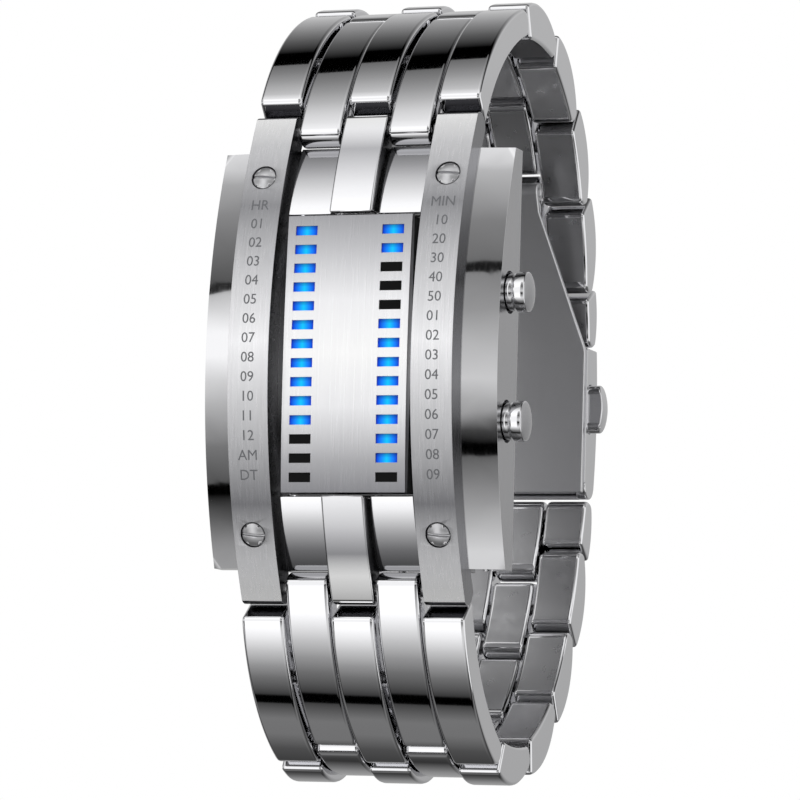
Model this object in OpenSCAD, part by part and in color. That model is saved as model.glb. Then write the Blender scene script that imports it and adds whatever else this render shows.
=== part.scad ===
// LED wristwatch on a five-column steel bracelet, closed as it is worn.
// Origin: centre of the case back's flat face. +Z is the 12 o'clock side, the display faces -Y,
// and +X is the side with the pushers. Side profiles are drawn in the (Y, Z) plane and
// extruded along X.

/* [Bracelet] */
// Width of the bracelet over its five columns
band_w = 22; // [20:0.1:24]
// Side gap between neighbouring columns
column_gap = 0.25; // [0.2:0.05:0.4]
// Half thickness of a link at its hinge
link_h = 1.3; // [1.15:0.05:1.4]
// Reach of a squared link end from its hinge axis
knuckle_r = 1.5; // [1.45:0.05:1.6]
// Free gap between a link end and the flat end that it faces
end_gap = 0.2; // [0.1:0.05:0.4]
// Distance between the hinge axes of a short link
pitch = 8.9; // [8.6:0.05:9.1]
// Distance between the hinge axes of the long first link
long_pitch = 17.4; // [17:0.1:17.8]
// Distance between the hinge axes of the half link beside the clasp
end_pitch = 5.5; // [5.2:0.1:5.8]
// Rise of a short link's outer and middle columns over its length
crown = 1.6; // [1.3:0.05:1.7]
// Rise of the short link's two columns between them
pair_crown = 0.9; // [0.7:0.05:1.1]
// Rise of a short link's inner face
belly = 0.4; // [0.2:0.05:0.5]
// Rise of the long link's outer and middle columns over its length
long_crown = 2.1; // [2:0.1:2.3]
// Rise of the long link's two columns between them, which lie lower
low_crown = 1.65; // [1.5:0.05:1.8]
// Extra thickness of the long link's proud columns
long_lift = 0.2; // [0.1:0.05:0.3]
// Lean of the proud columns' ends beside the case, which open the gap there
end_lean = 30; // [20:1:32]
// Rise of the long link's inner face
long_belly = 1.8; // [1.5:0.1:1.9]
// Lean of the 12 o'clock long link away from straight back
lean_12h = 44; // [43:0.5:46]
// Lean of the 6 o'clock long link away from straight back
lean_6h = 55.5; // [54:0.5:57]
// How much more the bracelet turns beside the case than beside the clasp
turn_ease = 0.8; // [0.6:0.05:0.9]
// Radius of a hinge pin
pin_r = 0.6; // [0.5:0.05:0.7]
// Radius of the pin that fixes a link's columns together
tie_r = 0.45; // [0.35:0.05:0.6]
// Running clearance of a pin in the piece that turns on it
pin_fit = 0.05; // [0.03:0.01:0.08]
// How far the pin ends lie below the bracelet's sides
pin_recess = 0.2; // [0.1:0.05:0.4]
// Metal left over the pin ends on the pushers' side, where the pins don't come through
pin_cap = 0.5; // [0.4:0.05:0.6]

/* [Clasp] */
// Depth from the case back to the hinge axes at the clasp's ends
loop_depth = 34.1; // [33.6:0.1:34.8]
// Height of the hinge axis where the 12 o'clock half meets the clasp
clasp_top_z = 6.8; // [6.6:0.05:7]
// Height below the centre of the bar where the 6 o'clock half meets the clasp
clasp_low_z = 11.65; // [11.5:0.05:11.8]
// Distance from that bar up to the cover's own hinge
cover_hinge_up = 3.2; // [3.2:0.05:3.4]
// Radius of the rounded hinge end of the cover
cover_end_r = 1.5; // [1.45:0.05:1.55]
// Gap between the cover's free end and the last link
cover_gap = 0.2; // [0.15:0.05:0.4]
// Rise of the cover's outer face over its length
cover_crown = 0.5; // [0.3:0.05:0.8]
// Thickness of the cover's outer wall
cover_wall = 1; // [0.8:0.05:1.1]
// Thickness of the cover's side walls
cover_side = 1.1; // [0.9:0.05:1.2]
// Depth of the side walls inward of the hinge axes
cover_skirt = 1.6; // [1.4:0.1:1.8]
// Height of the blades' common hinge above the clasp's upper hinge
blade_hinge_up = 13; // [12.8:0.1:13.2]
// How far inward of the clasp's hinge axes the blades' common hinge lies
blade_hinge_in = 8.7; // [8.6:0.1:8.9]
// Thickness of the blades
blade_t = 0.7; // [0.6:0.05:0.75]
// Radius of the rolled ends of the blades
blade_roll_r = 0.95; // [0.9:0.05:1]
// Radius of the clasp's hinge pins
clasp_pin_r = 0.45; // [0.4:0.05:0.5]
// Half width of the long blade at the blades' hinge
blade_tip_half = 7.8; // [7.4:0.1:8]
// Free gap between the cover's rim and the long blade's flat part
blade_gap = 0.1; // [0.08:0.01:0.15]
// Height of a clasp button along the bracelet
button_l = 4.8; // [4.4:0.1:5]
// Thickness of a clasp button across the cover's depth
button_t = 2; // [1.7:0.1:2.1]
// How far a clasp button stands out of the cover
button_out = 1.6; // [1.3:0.1:1.8]
// Radius of a clasp button's rounded outer end
button_dome_r = 6; // [5:0.5:9]
// Height of the clasp buttons' centre
button_z = -0.95; // [-1.2:0.05:-0.5]
// Clearance round a clasp button in its slot
button_fit = 0.06; // [0.04:0.01:0.1]
// Travel of a clasp button
button_travel = 0.6; // [0.4:0.05:0.7]

/* [Case] */
// Depth of the case from the rails' front to the case back
case_depth = 9.4; // [9.2:0.1:9.8]
// Radius of the rails' curved front
rail_arc_r = 49; // [47:0.5:52]
// Height of the hinge axes between the case and the bracelet
lug_z = 21.5; // [21.2:0.1:22]
// Inner edge of a rail, from the centre
rail_in_x = 7; // [6.95:0.05:7.2]
// Gap between the case block and the round ends of the first links
block_gap = 0.1; // [0.08:0.02:0.3]
// Depth of the two shoulders that flank the centre strips
shoulder_drop = 1.2; // [0.8:0.1:1.6]
// Radius of the shoulders' curved front
shoulder_arc_r = 24; // [20:1:30]
// Inner end of the shoulders and centre strips, from the centre
strip_z = 13.2; // [13.1:0.05:13.6]
// Clearance between the rails and the case block
seat_gap = 0.05; // [0.03:0.01:0.1]
// Width that each flank adds to the side of the case
flank_w = 3.4; // [3.1:0.05:3.6]
// Half length of the flanks
flank_half = 19.66; // [18.6:0.1:20]
// Radius of the flanks' curved front
flank_arc_r = 52; // [48:1:60]
// Depth of the flanks' inner front edge at mid height
flank_drop = 2.5; // [2.4:0.1:2.8]
// Extra depth of the flanks' outer front edge
flank_slope = 0.5; // [0.4:0.1:0.7]
// Depth at which the flanks end, short of the case back
flank_back = 8.9; // [8.6:0.1:9.1]
// Thickness of the case back
back_t = 1; // [0.9:0.05:1.2]
// Half width of the case back
back_half_x = 9.8; // [9.4:0.1:10.2]
// Half height of the case back
back_half_z = 18; // [17.6:0.1:18.2]
// Corner radius of the case back
back_corner_r = 3; // [2:0.25:4]

/* [Display] */
// Half width of the display plate
plate_half_x = 6.125; // [6.1:0.025:6.2]
// Half height of the display plate
plate_half_z = 12.95; // [12.85:0.05:13]
// Depth of the display plate's front at mid height
plate_drop = 1.55; // [1.4:0.05:1.65]
// Radius of the display plate's curved front
plate_arc_r = 170; // [150:10:300]
// Depth of the display plate's flat back
plate_back = 2.6; // [2.55:0.01:2.62]
// Distance of the lamp columns from the centre
lamp_x = 4.265; // [4.1:0.01:4.4]
// Distance between lamp rows
lamp_pitch = 1.774; // [1.7:0.01:1.78]
// Number of lamp rows
lamp_rows = 14; // [12:1:14]
// Width of a lamp window
lamp_w = 2.1; // [1.8:0.05:2.3]
// Height of a lamp window
lamp_h = 0.87; // [0.7:0.01:1]
// Clearance round a lamp lens
lamp_fit = 0.03; // [0.02:0.01:0.05]
// Depth of a lens face below the plate's front
lens_drop = 0.12; // [0.05:0.01:0.2]

/* [Module] */
// Half width of the module cavity
cavity_half_x = 8.2; // [8.1:0.05:8.3]
// Half height of the module cavity
cavity_half_z = 13.6; // [13.4:0.05:13.7]
// Thickness of the circuit board
board_t = 0.8; // [0.6:0.05:0.9]
// Depth of the circuit board's front
board_depth = 5.2; // [5.1:0.05:5.3]
// Radius of a coin cell
cell_r = 6.25; // [6.1:0.05:6.3]
// Thickness of a coin cell
cell_t = 2; // [1.8:0.05:2]
// Height of the coin cells' centres
cell_z = 6.95; // [6.8:0.01:7]
// Fit of the loose pieces inside the cavity
module_fit = 0.1; // [0.06:0.01:0.15]
// Thickness of the contact strap over the cells
strap_t = 0.2; // [0.15:0.01:0.2]
// Width of the gasket
gasket_w = 0.6; // [0.5:0.05:0.8]
// Depth of the gasket's groove
gasket_t = 0.5; // [0.4:0.05:0.6]

/* [Screws] */
// Distance of the rail screws from the centre, along X
rail_screw_x = 9.1; // [8.95:0.01:9.2]
// Height of the rail screws
rail_screw_z = 16.8; // [16.6:0.05:17]
// Radius of a rail screw's head
rail_head_r = 1.12; // [1:0.02:1.16]
// Radius of a rail screw's recess
rail_recess_r = 1.22; // [1.2:0.02:1.4]
// Depth of a rail screw's recess
rail_recess = 0.85; // [0.7:0.05:1]
// Radius of a rail screw's shank
rail_shank_r = 0.6; // [0.45:0.05:0.65]
// Length of a rail screw's thread in the case block
rail_thread = 2; // [1.5:0.1:2.2]
// Distance of the case back's screws from the centre, along X
back_screw_x = 6.5; // [6:0.1:7]
// Height of the case back's screws
back_screw_z = 16.1; // [15.9:0.05:16.3]
// Radius of a case back screw's head
back_head_r = 1.1; // [0.9:0.05:1.2]
// Radius of a case back screw's shank
back_shank_r = 0.5; // [0.4:0.05:0.6]

/* [Pushers] */
// Height of the pushers above and below the centre
pusher_z = 6; // [5.6:0.1:6.4]
// Depth of the pushers' axis behind the rails' front
pusher_depth = 6.2; // [6.1:0.05:6.3]
// Radius of a pusher's head
pusher_r = 1.88; // [1.7:0.01:1.95]
// Length of a pusher outside the flank
pusher_out = 2.2; // [2.1:0.02:2.5]
// Travel of a pusher
pusher_travel = 0.6; // [0.4:0.05:0.6]
// Radius of a pusher's stem
stem_r = 0.78; // [0.7:0.01:0.8]
// Running clearance of the stem in its tube
stem_fit = 0.05; // [0.03:0.01:0.08]
// Outer radius of a pusher tube
tube_r = 1.3; // [1.25:0.01:1.4]

/* [Hidden] */
$fn = 96;
big = 60;
front_y = -case_depth;
sides = ["12h", "6h"];
link_count = 6;
max_turn = 40;
turn_step = 1e-9;

// Columns of the bracelet, counted from -X
col_w = (band_w - 4 * column_gap) / 5;
half_w = band_w / 2;
col_step = col_w + column_gap;
trio = [1, 3, 5];
pair = [2, 4];
flat_reach = knuckle_r + end_gap;

// A pin runs from just below one side into the last column at the other, where a disc that is
// wider than the pin by this lip closes its hole
cap_lip = 0.2;
pin_start = pin_recess - half_w;
pin_end = half_w - pin_cap;

// Lug axis on the rails' middle line
rail_mid_r = rail_arc_r - link_h;
rail_centre_y = front_y + rail_arc_r;
lug_angle = asin(lug_z / rail_mid_r);
lug_y = rail_centre_y - rail_mid_r * cos(lug_angle);
seat_r = rail_arc_r - 2 * link_h - seat_gap;
block_back = front_y + case_depth - back_t;
block_half = lug_z - knuckle_r - block_gap;

// Pivot chain of one half, in a plane where z counts away from the case
function aim(v) = atan2(v[1], v[0]);
function unit(a) = [cos(a), sin(a)];
function link_len(k) = k == 1 ? long_pitch : k == link_count ? end_pitch : pitch;
function is_low(side) = side == "6h";
function lean(side) = is_low(side) ? lean_6h : lean_12h;
function anchor(side) = [loop_depth, is_low(side) ? clasp_low_z : clasp_top_z];
function second_axis(side) = [lug_y, lug_z] + long_pitch * unit(lean(side));
function gap_line(side) = anchor(side) - second_axis(side);
// The short links fan out by a mean turn t from one to the next, more beside the case, and t is
// halved in on until the fan spans the gap
function turns(k) = (k - 2) * (1 + turn_ease * (link_count - k) / (link_count - 3));
function fan(t, k = 2) =
    k > link_count ? [0, 0] : link_len(k) * unit(-turns(k) * t) + fan(t, k + 1);
function bend(c, lo, hi) =
    hi - lo < turn_step ? lo
    : norm(fan((lo + hi) / 2)) > c ? bend(c, (lo + hi) / 2, hi)
    : bend(c, lo, (lo + hi) / 2);
function turn(side) = bend(norm(gap_line(side)), 0, max_turn);
function link_dir(side, k) =
    k == 1 ? lean(side)
    : aim(gap_line(side)) - aim(fan(turn(side))) - turns(k) * turn(side);
function axis_at(side, k) =
    k == 1 ? [lug_y, lug_z]
    : axis_at(side, k - 1) + link_len(k - 1) * unit(link_dir(side, k - 1));

// Arc through two axes p apart that rises by s between them
function arc_r(p, s) = (p * p / 4 + s * s) / (2 * s);
function arc_tilt(p, s) = asin(p / 2 / arc_r(p, s));

module across(x0, x1) {
    translate([x0, 0, 0]) rotate([90, 0, 90]) linear_extrude(x1 - x0) children();
}
module in_columns(list) {
    for (i = list) across((i - 3) * col_step - col_w / 2, (i - 3) * col_step + col_w / 2) children();
}
module rod(y, z, r, x0, x1) {
    translate([x0, y, z]) rotate([0, 90, 0]) cylinder(r = r, h = x1 - x0);
}
module both_sides() {
    children();
    mirror([1, 0, 0]) children();
}
module top_and_bottom() {
    children();
    mirror([0, 0, 1]) children();
}
module rounded_plate(half_x, half_z, r, y0, y1) {
    translate([0, y1, 0]) rotate([90, 0, 0]) linear_extrude(y1 - y0) union() {
        square([2 * (half_x - r), 2 * half_z], center = true);
        square([2 * half_x, 2 * (half_z - r)], center = true);
        for (x = [-1, 1], z = [-1, 1]) translate([x * (half_x - r), z * (half_z - r)]) circle(r);
    }
}
module block(half_x, y0, y1, z0, z1) {
    translate([-half_x, y0, z0]) cube([2 * half_x, y1 - y0, z1 - z0]);
}

// The half link curves as the short links do, so it rises less
function part_of(k, rise) = rise * pow(link_len(k) / pitch, 2);
function low_rise(k) = k == 1 ? low_crown : part_of(k, pair_crown);
function top_rise(k) = k == 1 ? long_crown : part_of(k, crown);
function hollow_of(k) = k == 1 ? long_belly : part_of(k, belly);
function tie_at(k) = [link_len(k) / 2, (low_rise(k) + hollow_of(k)) / 2];

// Link profiles: the leading axis at the origin, the trailing axis at [p, 0], outside up. The outer
// arc runs on to the round end, square to it
module link_bar(k, rise, lift, ends) {
    p = link_len(k);
    ro = arc_r(p, rise);
    ri = arc_r(p, hollow_of(k));
    tilt = arc_tilt(p, rise);
    difference() {
        intersection() {
            translate([p / 2, rise - ro]) circle(ro + link_h + lift, $fn = 360);
            union() {
                translate([0, -2 * p]) square([p, 4 * p]);
                for (s = ends) translate([s, 0]) {
                    circle(knuckle_r);
                    mirror([s == 0 ? 1 : 0, 0]) rotate(-tilt)
                        translate([-knuckle_r, 0]) square([knuckle_r, 2 * knuckle_r]);
                }
            }
        }
        translate([p / 2, hollow_of(k) - ri]) circle(ri - link_h, $fn = 360);
        translate(tie_at(k)) circle(tie_r);
    }
}
module flat_end(tilt) {
    rotate(tilt) translate([-big, -big]) square([big + flat_reach, 2 * big]);
}
// The low columns turn on the pin before them
module link_pair(k) {
    p = link_len(k);
    difference() {
        link_bar(k, low_rise(k), 0, [0]);
        translate([p, 0]) mirror([1, 0]) flat_end(arc_tilt(p, low_rise(k)));
        circle(pin_r + pin_fit);
    }
}
// The columns beside them hold the pin at the link's far end
module link_trio(k) {
    p = link_len(k);
    difference() {
        link_bar(k, top_rise(k), k == 1 ? long_lift : 0, [p]);
        flat_end(k == 1 ? arc_tilt(p, long_crown) - end_lean : arc_tilt(p, low_rise(k)));
        translate([p, 0]) circle(pin_r);
    }
}
// The last 6 o'clock link is round at both ends, because the clasp's bar runs through it
module link_last() {
    p = end_pitch;
    difference() {
        link_bar(link_count, low_rise(link_count), 0, [0, p]);
        circle(pin_r + pin_fit);
        translate([p, 0]) circle(pin_r);
    }
}
module pin_places(k, grow) {
    translate([link_len(k), 0]) circle(pin_r + grow);
    translate(tie_at(k)) circle(tie_r + grow);
}
module at_link(side, k) {
    mirror([0, is_low(side) ? 1 : 0]) translate(axis_at(side, k)) rotate(link_dir(side, k)) children();
}
module link(side, k) {
    color("silver") {
        if (is_low(side) && k == link_count)
            in_columns(pair) at_link(side, k) link_last();
        else
            in_columns(pair) at_link(side, k) link_pair(k);
        in_columns(trio) at_link(side, k) link_trio(k);
        across(pin_end, half_w) at_link(side, k) pin_places(k, cap_lip);
    }
}
module link_pins(side, k) {
    color("darkgray") across(pin_start, pin_end) at_link(side, k) pin_places(k, 0);
}

// Case
module rail_profile() {
    difference() {
        intersection() {
            seat_disc(rail_arc_r);
            union() {
                translate([front_y, -lug_z]) square([case_depth, 2 * lug_z]);
                for (z = [-1, 1]) translate([lug_y, z * lug_z]) circle(knuckle_r);
            }
        }
        seat_disc(rail_arc_r - 2 * link_h);
        for (z = [-1, 1]) translate([lug_y, z * lug_z]) circle(pin_r);
    }
}
// Children stand on the rail's front at height z, with +Y going into the rail
module on_rail(z) {
    translate([0, rail_centre_y, 0]) rotate([-asin(z / rail_arc_r), 0, 0])
        translate([0, -rail_arc_r, 0]) children();
}
module bolt(r, y0, y1) {
    translate([0, y1, 0]) rotate([90, 0, 0]) cylinder(r = r, h = y1 - y0);
}
module at_rail_screws() {
    for (x = [-1, 1], z = [-1, 1]) on_rail(z * rail_screw_z) translate([x * rail_screw_x, 0, 0]) children();
}
module rail() {
    color("silver") difference() {
        across(rail_in_x, half_w) rail_profile();
        at_rail_screws() {
            bolt(rail_recess_r, -1, rail_recess);
            bolt(rail_shank_r + seat_gap, 0, 4 * link_h);
        }
    }
}
module rail_left() {
    mirror([1, 0, 0]) rail();
}
module rail_right() {
    rail();
    color("silver") top_and_bottom() rod(lug_y, lug_z, pin_r + cap_lip, pin_end, half_w);
}
module rail_screws() {
    head_dome = 2.6;
    slot_w = 0.24;
    slot_deep = 0.4;
    slot_turn = 5;
    head_rise = 0.15;
    shank_end = 2 * link_h + rail_thread;
    color("lightgray") at_rail_screws() difference() {
        union() {
            intersection() {
                bolt(rail_head_r, -head_rise, rail_recess);
                translate([0, head_dome - head_rise, 0]) sphere(head_dome);
            }
            bolt(rail_shank_r, rail_recess, shank_end);
        }
        translate([0, slot_deep / 2 - head_rise, 0]) rotate([0, slot_turn, 0])
            cube([3 * rail_head_r, slot_deep, slot_w], center = true);
    }
}
module centre_strips() {
    color("silver") in_columns([3]) difference() {
        rail_profile();
        translate([-big, -strip_z]) square([2 * big, 2 * strip_z]);
    }
}
module seat_disc(r) {
    translate([rail_centre_y, 0]) circle(r, $fn = 360);
}
module pusher_places() {
    for (z = [-1, 1]) translate([0, front_y + pusher_depth, z * pusher_z]) children();
}

// The pusher tubes and the recess that each pusher sinks into
tube_wall = 0.8;
tube_in_x = cavity_half_x + tube_wall;
flank_out_x = half_w + flank_w;
recess_deep = 1;
recess_x = flank_out_x - recess_deep;
recess_r = pusher_r + 0.12;

// The window in the case behind the display plate
mask_half_x = plate_half_x - module_fit;
mask_half_z = plate_half_z - module_fit;

// The dowels that hold the flanks, and the case back's screws
dowel_r = 0.6;
dowel_z = 11.5;
dowel_depth = 7;
dowel_len = 3;
back_thread = 2.2;
back_recess = 0.6;

module mid_case() {
    color("gray") difference() {
        union() {
            across(-half_w, half_w) intersection() {
                seat_disc(seat_r);
                translate([front_y, -block_half]) square([block_back - front_y, 2 * block_half]);
            }
            in_columns(pair) intersection() {
                shoulder_discs();
                for (z = [strip_z, -block_half])
                    translate([front_y, z]) square([block_back - front_y, block_half - strip_z]);
            }
        }
        block(mask_half_x + module_fit / 2, front_y, 0, -mask_half_z - module_fit / 2,
            mask_half_z + module_fit / 2);
        block(cavity_half_x, front_y + board_depth, 0, -cavity_half_z, cavity_half_z);
        gasket_ring();
        at_rail_screws() bolt(rail_shank_r, 0, 2 * link_h + rail_thread);
        at_back_screws() bolt(back_shank_r, -back_t - back_thread, 0);
        pusher_places() {
            rod(0, 0, tube_r, tube_in_x, big);
            rod(0, 0, stem_r + stem_fit, cavity_half_x - tube_wall, half_w);
        }
        both_sides() dowels();
    }
}
// The shoulders leave the rails' curve beside the display and fall away from it
module shoulder_discs() {
    start = asin(strip_z / rail_arc_r);
    reach = rail_arc_r - shoulder_drop - shoulder_arc_r;
    for (z = [-1, 1])
        translate([rail_centre_y - reach * cos(start), z * reach * sin(start)]) circle(shoulder_arc_r);
}
module dowels() {
    top_and_bottom() rod(front_y + dowel_depth, dowel_z, dowel_r, half_w - dowel_len / 2,
        half_w + dowel_len / 2);
}
module flank_dowels() {
    color("darkgray") both_sides() dowels();
}
module flank_blank() {
    axis_y = front_y + flank_drop + flank_arc_r;
    core_r = flank_arc_r - 2 * case_depth;
    intersection() {
        translate([0, axis_y, 0]) rotate([0, 90, 0]) rotate_extrude($fn = 360) polygon([
            [core_r, half_w],
            [flank_arc_r, half_w],
            [flank_arc_r - flank_slope, flank_out_x],
            [core_r, flank_out_x]
        ]);
        block(big, front_y, front_y + flank_back, -flank_half, flank_half);
    }
}
module flank_left() {
    color("silver") difference() {
        mirror([1, 0, 0]) flank_blank();
        mirror([1, 0, 0]) dowels();
    }
}
module flank_right() {
    color("silver") difference() {
        flank_blank();
        dowels();
        pusher_places() {
            rod(0, 0, tube_r, 0, big);
            rod(0, 0, recess_r, recess_x, big);
        }
    }
}
module lug_pins() {
    color("darkgray") top_and_bottom() rod(lug_y, lug_z, pin_r, pin_start, pin_end);
}
module at_back_screws() {
    for (x = [-1, 1], z = [-1, 1]) translate([x * back_screw_x, 0, z * back_screw_z]) children();
}
module case_back() {
    color("darkgray") difference() {
        rounded_plate(back_half_x, back_half_z, back_corner_r, -back_t, 0);
        at_back_screws() {
            bolt(back_head_r + seat_gap, -back_recess, 1);
            bolt(back_shank_r + seat_gap, -2 * back_t, 0);
        }
    }
}
module back_screws() {
    slot_w = 0.35;
    slot_deep = 0.3;
    head_sink = 0.05;
    color("lightgray") at_back_screws() difference() {
        union() {
            bolt(back_head_r, -back_recess, -head_sink);
            bolt(back_shank_r, -back_t - back_thread, -back_recess);
        }
        translate([0, -head_sink, 0]) cube([3 * back_head_r, 2 * slot_deep, slot_w], center = true);
    }
}
module gasket_ring() {
    land = 0.35;
    r = 1;
    in_x = cavity_half_x + land;
    in_z = cavity_half_z + land;
    difference() {
        rounded_plate(in_x + gasket_w, in_z + gasket_w, r + gasket_w, block_back - gasket_t, block_back);
        rounded_plate(in_x, in_z, r, block_back - 2 * gasket_t, block_back + gasket_t);
    }
}
module back_gasket() {
    color("dimgray") gasket_ring();
}

// Display
// Rows are counted from the top; the rest of a column is dark
lit_left = [1, 2, 3, 4, 5, 6, 7, 8, 9, 10, 11];
lit_right = [1, 2, 6, 7, 8, 9, 10, 11, 12, 13];
chip_t = 0.6;
chip_w = 1.6;
chip_h = 0.7;
function row_z(i) = ((lamp_rows + 1) / 2 - i) * lamp_pitch;
function is_lit(i, lit) = len(search(i, lit)) > 0;
function plate_sag(z) = plate_arc_r - sqrt(plate_arc_r * plate_arc_r - z * z);

module at_lamps() {
    for (x = [-lamp_x, lamp_x], i = [1 : lamp_rows]) translate([x, 0, row_z(i)]) children();
}

module display_plate() {
    color("gainsboro") difference() {
        across(-plate_half_x, plate_half_x) intersection() {
            translate([front_y + plate_drop + plate_arc_r, 0]) circle(plate_arc_r, $fn = 720);
            translate([front_y, -plate_half_z]) square([plate_back, 2 * plate_half_z]);
        }
        at_lamps() block(lamp_w / 2, front_y, 0, -lamp_h / 2, lamp_h / 2);
    }
}
module light_mask() {
    color("black") difference() {
        block(mask_half_x, front_y + plate_back, front_y + board_depth, -mask_half_z, mask_half_z);
        at_lamps() block(lamp_w / 2, front_y, 0, -lamp_h / 2, lamp_h / 2);
    }
}
module lens(x, i) {
    w = lamp_w / 2 - lamp_fit;
    h = lamp_h / 2 - lamp_fit;
    front = front_y + plate_drop + plate_sag(row_z(i)) + lens_drop;
    back = front_y + board_depth - chip_t - lamp_fit;
    translate([x, 0, row_z(i)]) block(w, front, back, -h, h);
}
module lenses(lit) {
    for (i = [1 : lamp_rows]) {
        if (is_lit(i, lit_left) == lit) lens(-lamp_x, i);
        if (is_lit(i, lit_right) == lit) lens(lamp_x, i);
    }
}
module lamp_lenses_lit() {
    color("deepskyblue") lenses(true);
}
module lamp_lenses_dark() {
    color("black") lenses(false);
}
module led_chips() {
    color("white") at_lamps()
        block(chip_w / 2, front_y + board_depth - chip_t, front_y + board_depth, -chip_h / 2, chip_h / 2);
}
module circuit_board() {
    side_room = 0.6;
    color("darkgreen") block(cavity_half_x - side_room, front_y + board_depth,
        front_y + board_depth + board_t, -cavity_half_z + module_fit, cavity_half_z - module_fit);
}

// Module behind the display
frame_front = front_y + board_depth + board_t;
strap_front = block_back - strap_t;
cell_front = strap_front - cell_t;
switch_half = 1.2;
switch_t = 1.1;
switch_in_x = cell_r + 2 * module_fit;
stem_tip = cavity_half_x + module_fit;
switch_out_x = stem_tip - pusher_travel - stem_fit;

module module_frame() {
    color("ivory") difference() {
        block(cavity_half_x - module_fit, frame_front, strap_front, -cavity_half_z + module_fit,
            cavity_half_z - module_fit);
        for (z = [-1, 1]) translate([0, 0, z * cell_z]) bolt(cell_r + module_fit, cell_front, block_back);
        for (z = [-1, 1]) translate([switch_in_x - module_fit, front_y, z * pusher_z - pusher_r])
            cube([big, case_depth, 2 * pusher_r]);
    }
}
module push_switches() {
    color("dimgray") for (z = [-1, 1])
        translate([switch_in_x, frame_front, z * pusher_z - switch_half])
            cube([switch_out_x - switch_in_x, switch_t, 2 * switch_half]);
}
module coin_cells() {
    color("silver") top_and_bottom() translate([0, 0, cell_z]) bolt(cell_r, cell_front, strap_front);
}
module contact_strap() {
    strap_half_x = 2.4;
    strap_half_z = 10.5;
    color("gold") block(strap_half_x, strap_front, block_back, -strap_half_z, strap_half_z);
}

// Pushers: a stem, a collar that sinks into the flank, a thin groove and a domed head
collar_r = pusher_r - 0.13;
collar_in = recess_deep - pusher_travel - stem_fit;
collar_x = flank_out_x - collar_in;
collar_out = 0.65;
groove_x = flank_out_x + collar_out;
groove_w = 0.16;
groove_r = collar_r - 0.2;
head_end = flank_out_x + pusher_out;
dome = 0.35;
dome_r = (pusher_r * pusher_r + dome * dome) / (2 * dome);
spring_r = stem_r + 0.24;
spring_bore_r = stem_r + 0.02;
spring_seat_x = tube_in_x + 1.2;
spring_in_x = spring_seat_x + pusher_travel + 0.1;
seal_x = tube_in_x + 0.3;
seal_w = 0.5;
seal_r = stem_r + 0.25;

module pusher(z) {
    color("silver") translate([0, front_y + pusher_depth, z]) rotate([0, 90, 0]) rotate_extrude() {
        translate([0, stem_tip]) square([stem_r, collar_x - stem_tip + collar_in]);
        translate([0, collar_x]) square([collar_r, groove_x - collar_x]);
        translate([0, collar_x]) square([groove_r, groove_x + 2 * groove_w - collar_x]);
        intersection() {
            translate([0, groove_x + groove_w]) square([pusher_r, pusher_out]);
            translate([0, head_end - dome_r]) circle(dome_r, $fn = 360);
        }
    }
}
module pusher_2h() {
    pusher(pusher_z);
}
module pusher_4h() {
    pusher(-pusher_z);
}
module pusher_spring(z) {
    color("darkgray") translate([0, front_y + pusher_depth, z]) difference() {
        rod(0, 0, spring_r, spring_in_x, collar_x);
        rod(0, 0, spring_bore_r, 0, big);
    }
}
module pusher_spring_2h() {
    pusher_spring(pusher_z);
}
module pusher_spring_4h() {
    pusher_spring(-pusher_z);
}
module pusher_tubes() {
    color("lightgray") pusher_places() difference() {
        rod(0, 0, tube_r, tube_in_x, recess_x);
        rod(0, 0, stem_r + stem_fit, 0, big);
        rod(0, 0, spring_r + stem_fit, spring_seat_x, big);
        rod(0, 0, seal_r, seal_x, seal_x + seal_w);
    }
}
module pusher_seals() {
    color("dimgray") pusher_places() difference() {
        rod(0, 0, seal_r, seal_x, seal_x + seal_w);
        rod(0, 0, stem_r + stem_fit / 2, 0, big);
    }
}

// Clasp, closed. The short blade folds on the last 12 o'clock link, the long blade on the
// short one, and the cover on the long one.
fold_axis = [loop_depth, clasp_top_z];
bar_axis = [loop_depth, -clasp_low_z];
cover_axis = bar_axis + [0, cover_hinge_up];
blade_axis = fold_axis + [-blade_hinge_in, blade_hinge_up];

// The cover's arc, from its free end down to its hinge
cover_top_z = clasp_top_z - knuckle_r - cover_gap;
cover_len = cover_top_z - cover_axis[1];
cover_arc_r = arc_r(cover_len, cover_crown);
cover_in_x = half_w - cover_side;
blade_play = 0.1;
cover_bore_r = blade_roll_r + blade_play;
cover_rim_y = loop_depth - cover_skirt;

// The long blade lies flat under the cover's rim and leans in to the blades' hinge above it
flat_out_y = cover_rim_y - blade_gap;
flat_in_y = flat_out_y - blade_t;
kink_z = cover_top_z - blade_gap;
blade_split = (blade_roll_r - blade_t) / 2;
blade_line = [flat_out_y + blade_split, kink_z] - blade_axis;
blade_half = cover_in_x - 0.35;

// A button's flange inside the cover, its hook, and the catch on the long blade between them
button_y = loop_depth - 0.3;
flange_x = cover_in_x - button_fit;
flange_t = 0.8;
catch_w = 0.6;
catch_half = 1;
catch_x = flange_x - flange_t - button_travel - button_fit - catch_w;
catch_top = button_y + 0.15;
hook_w = 0.6;
hook_gap = 0.2;
hook_x = catch_x - hook_gap - hook_w;

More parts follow.
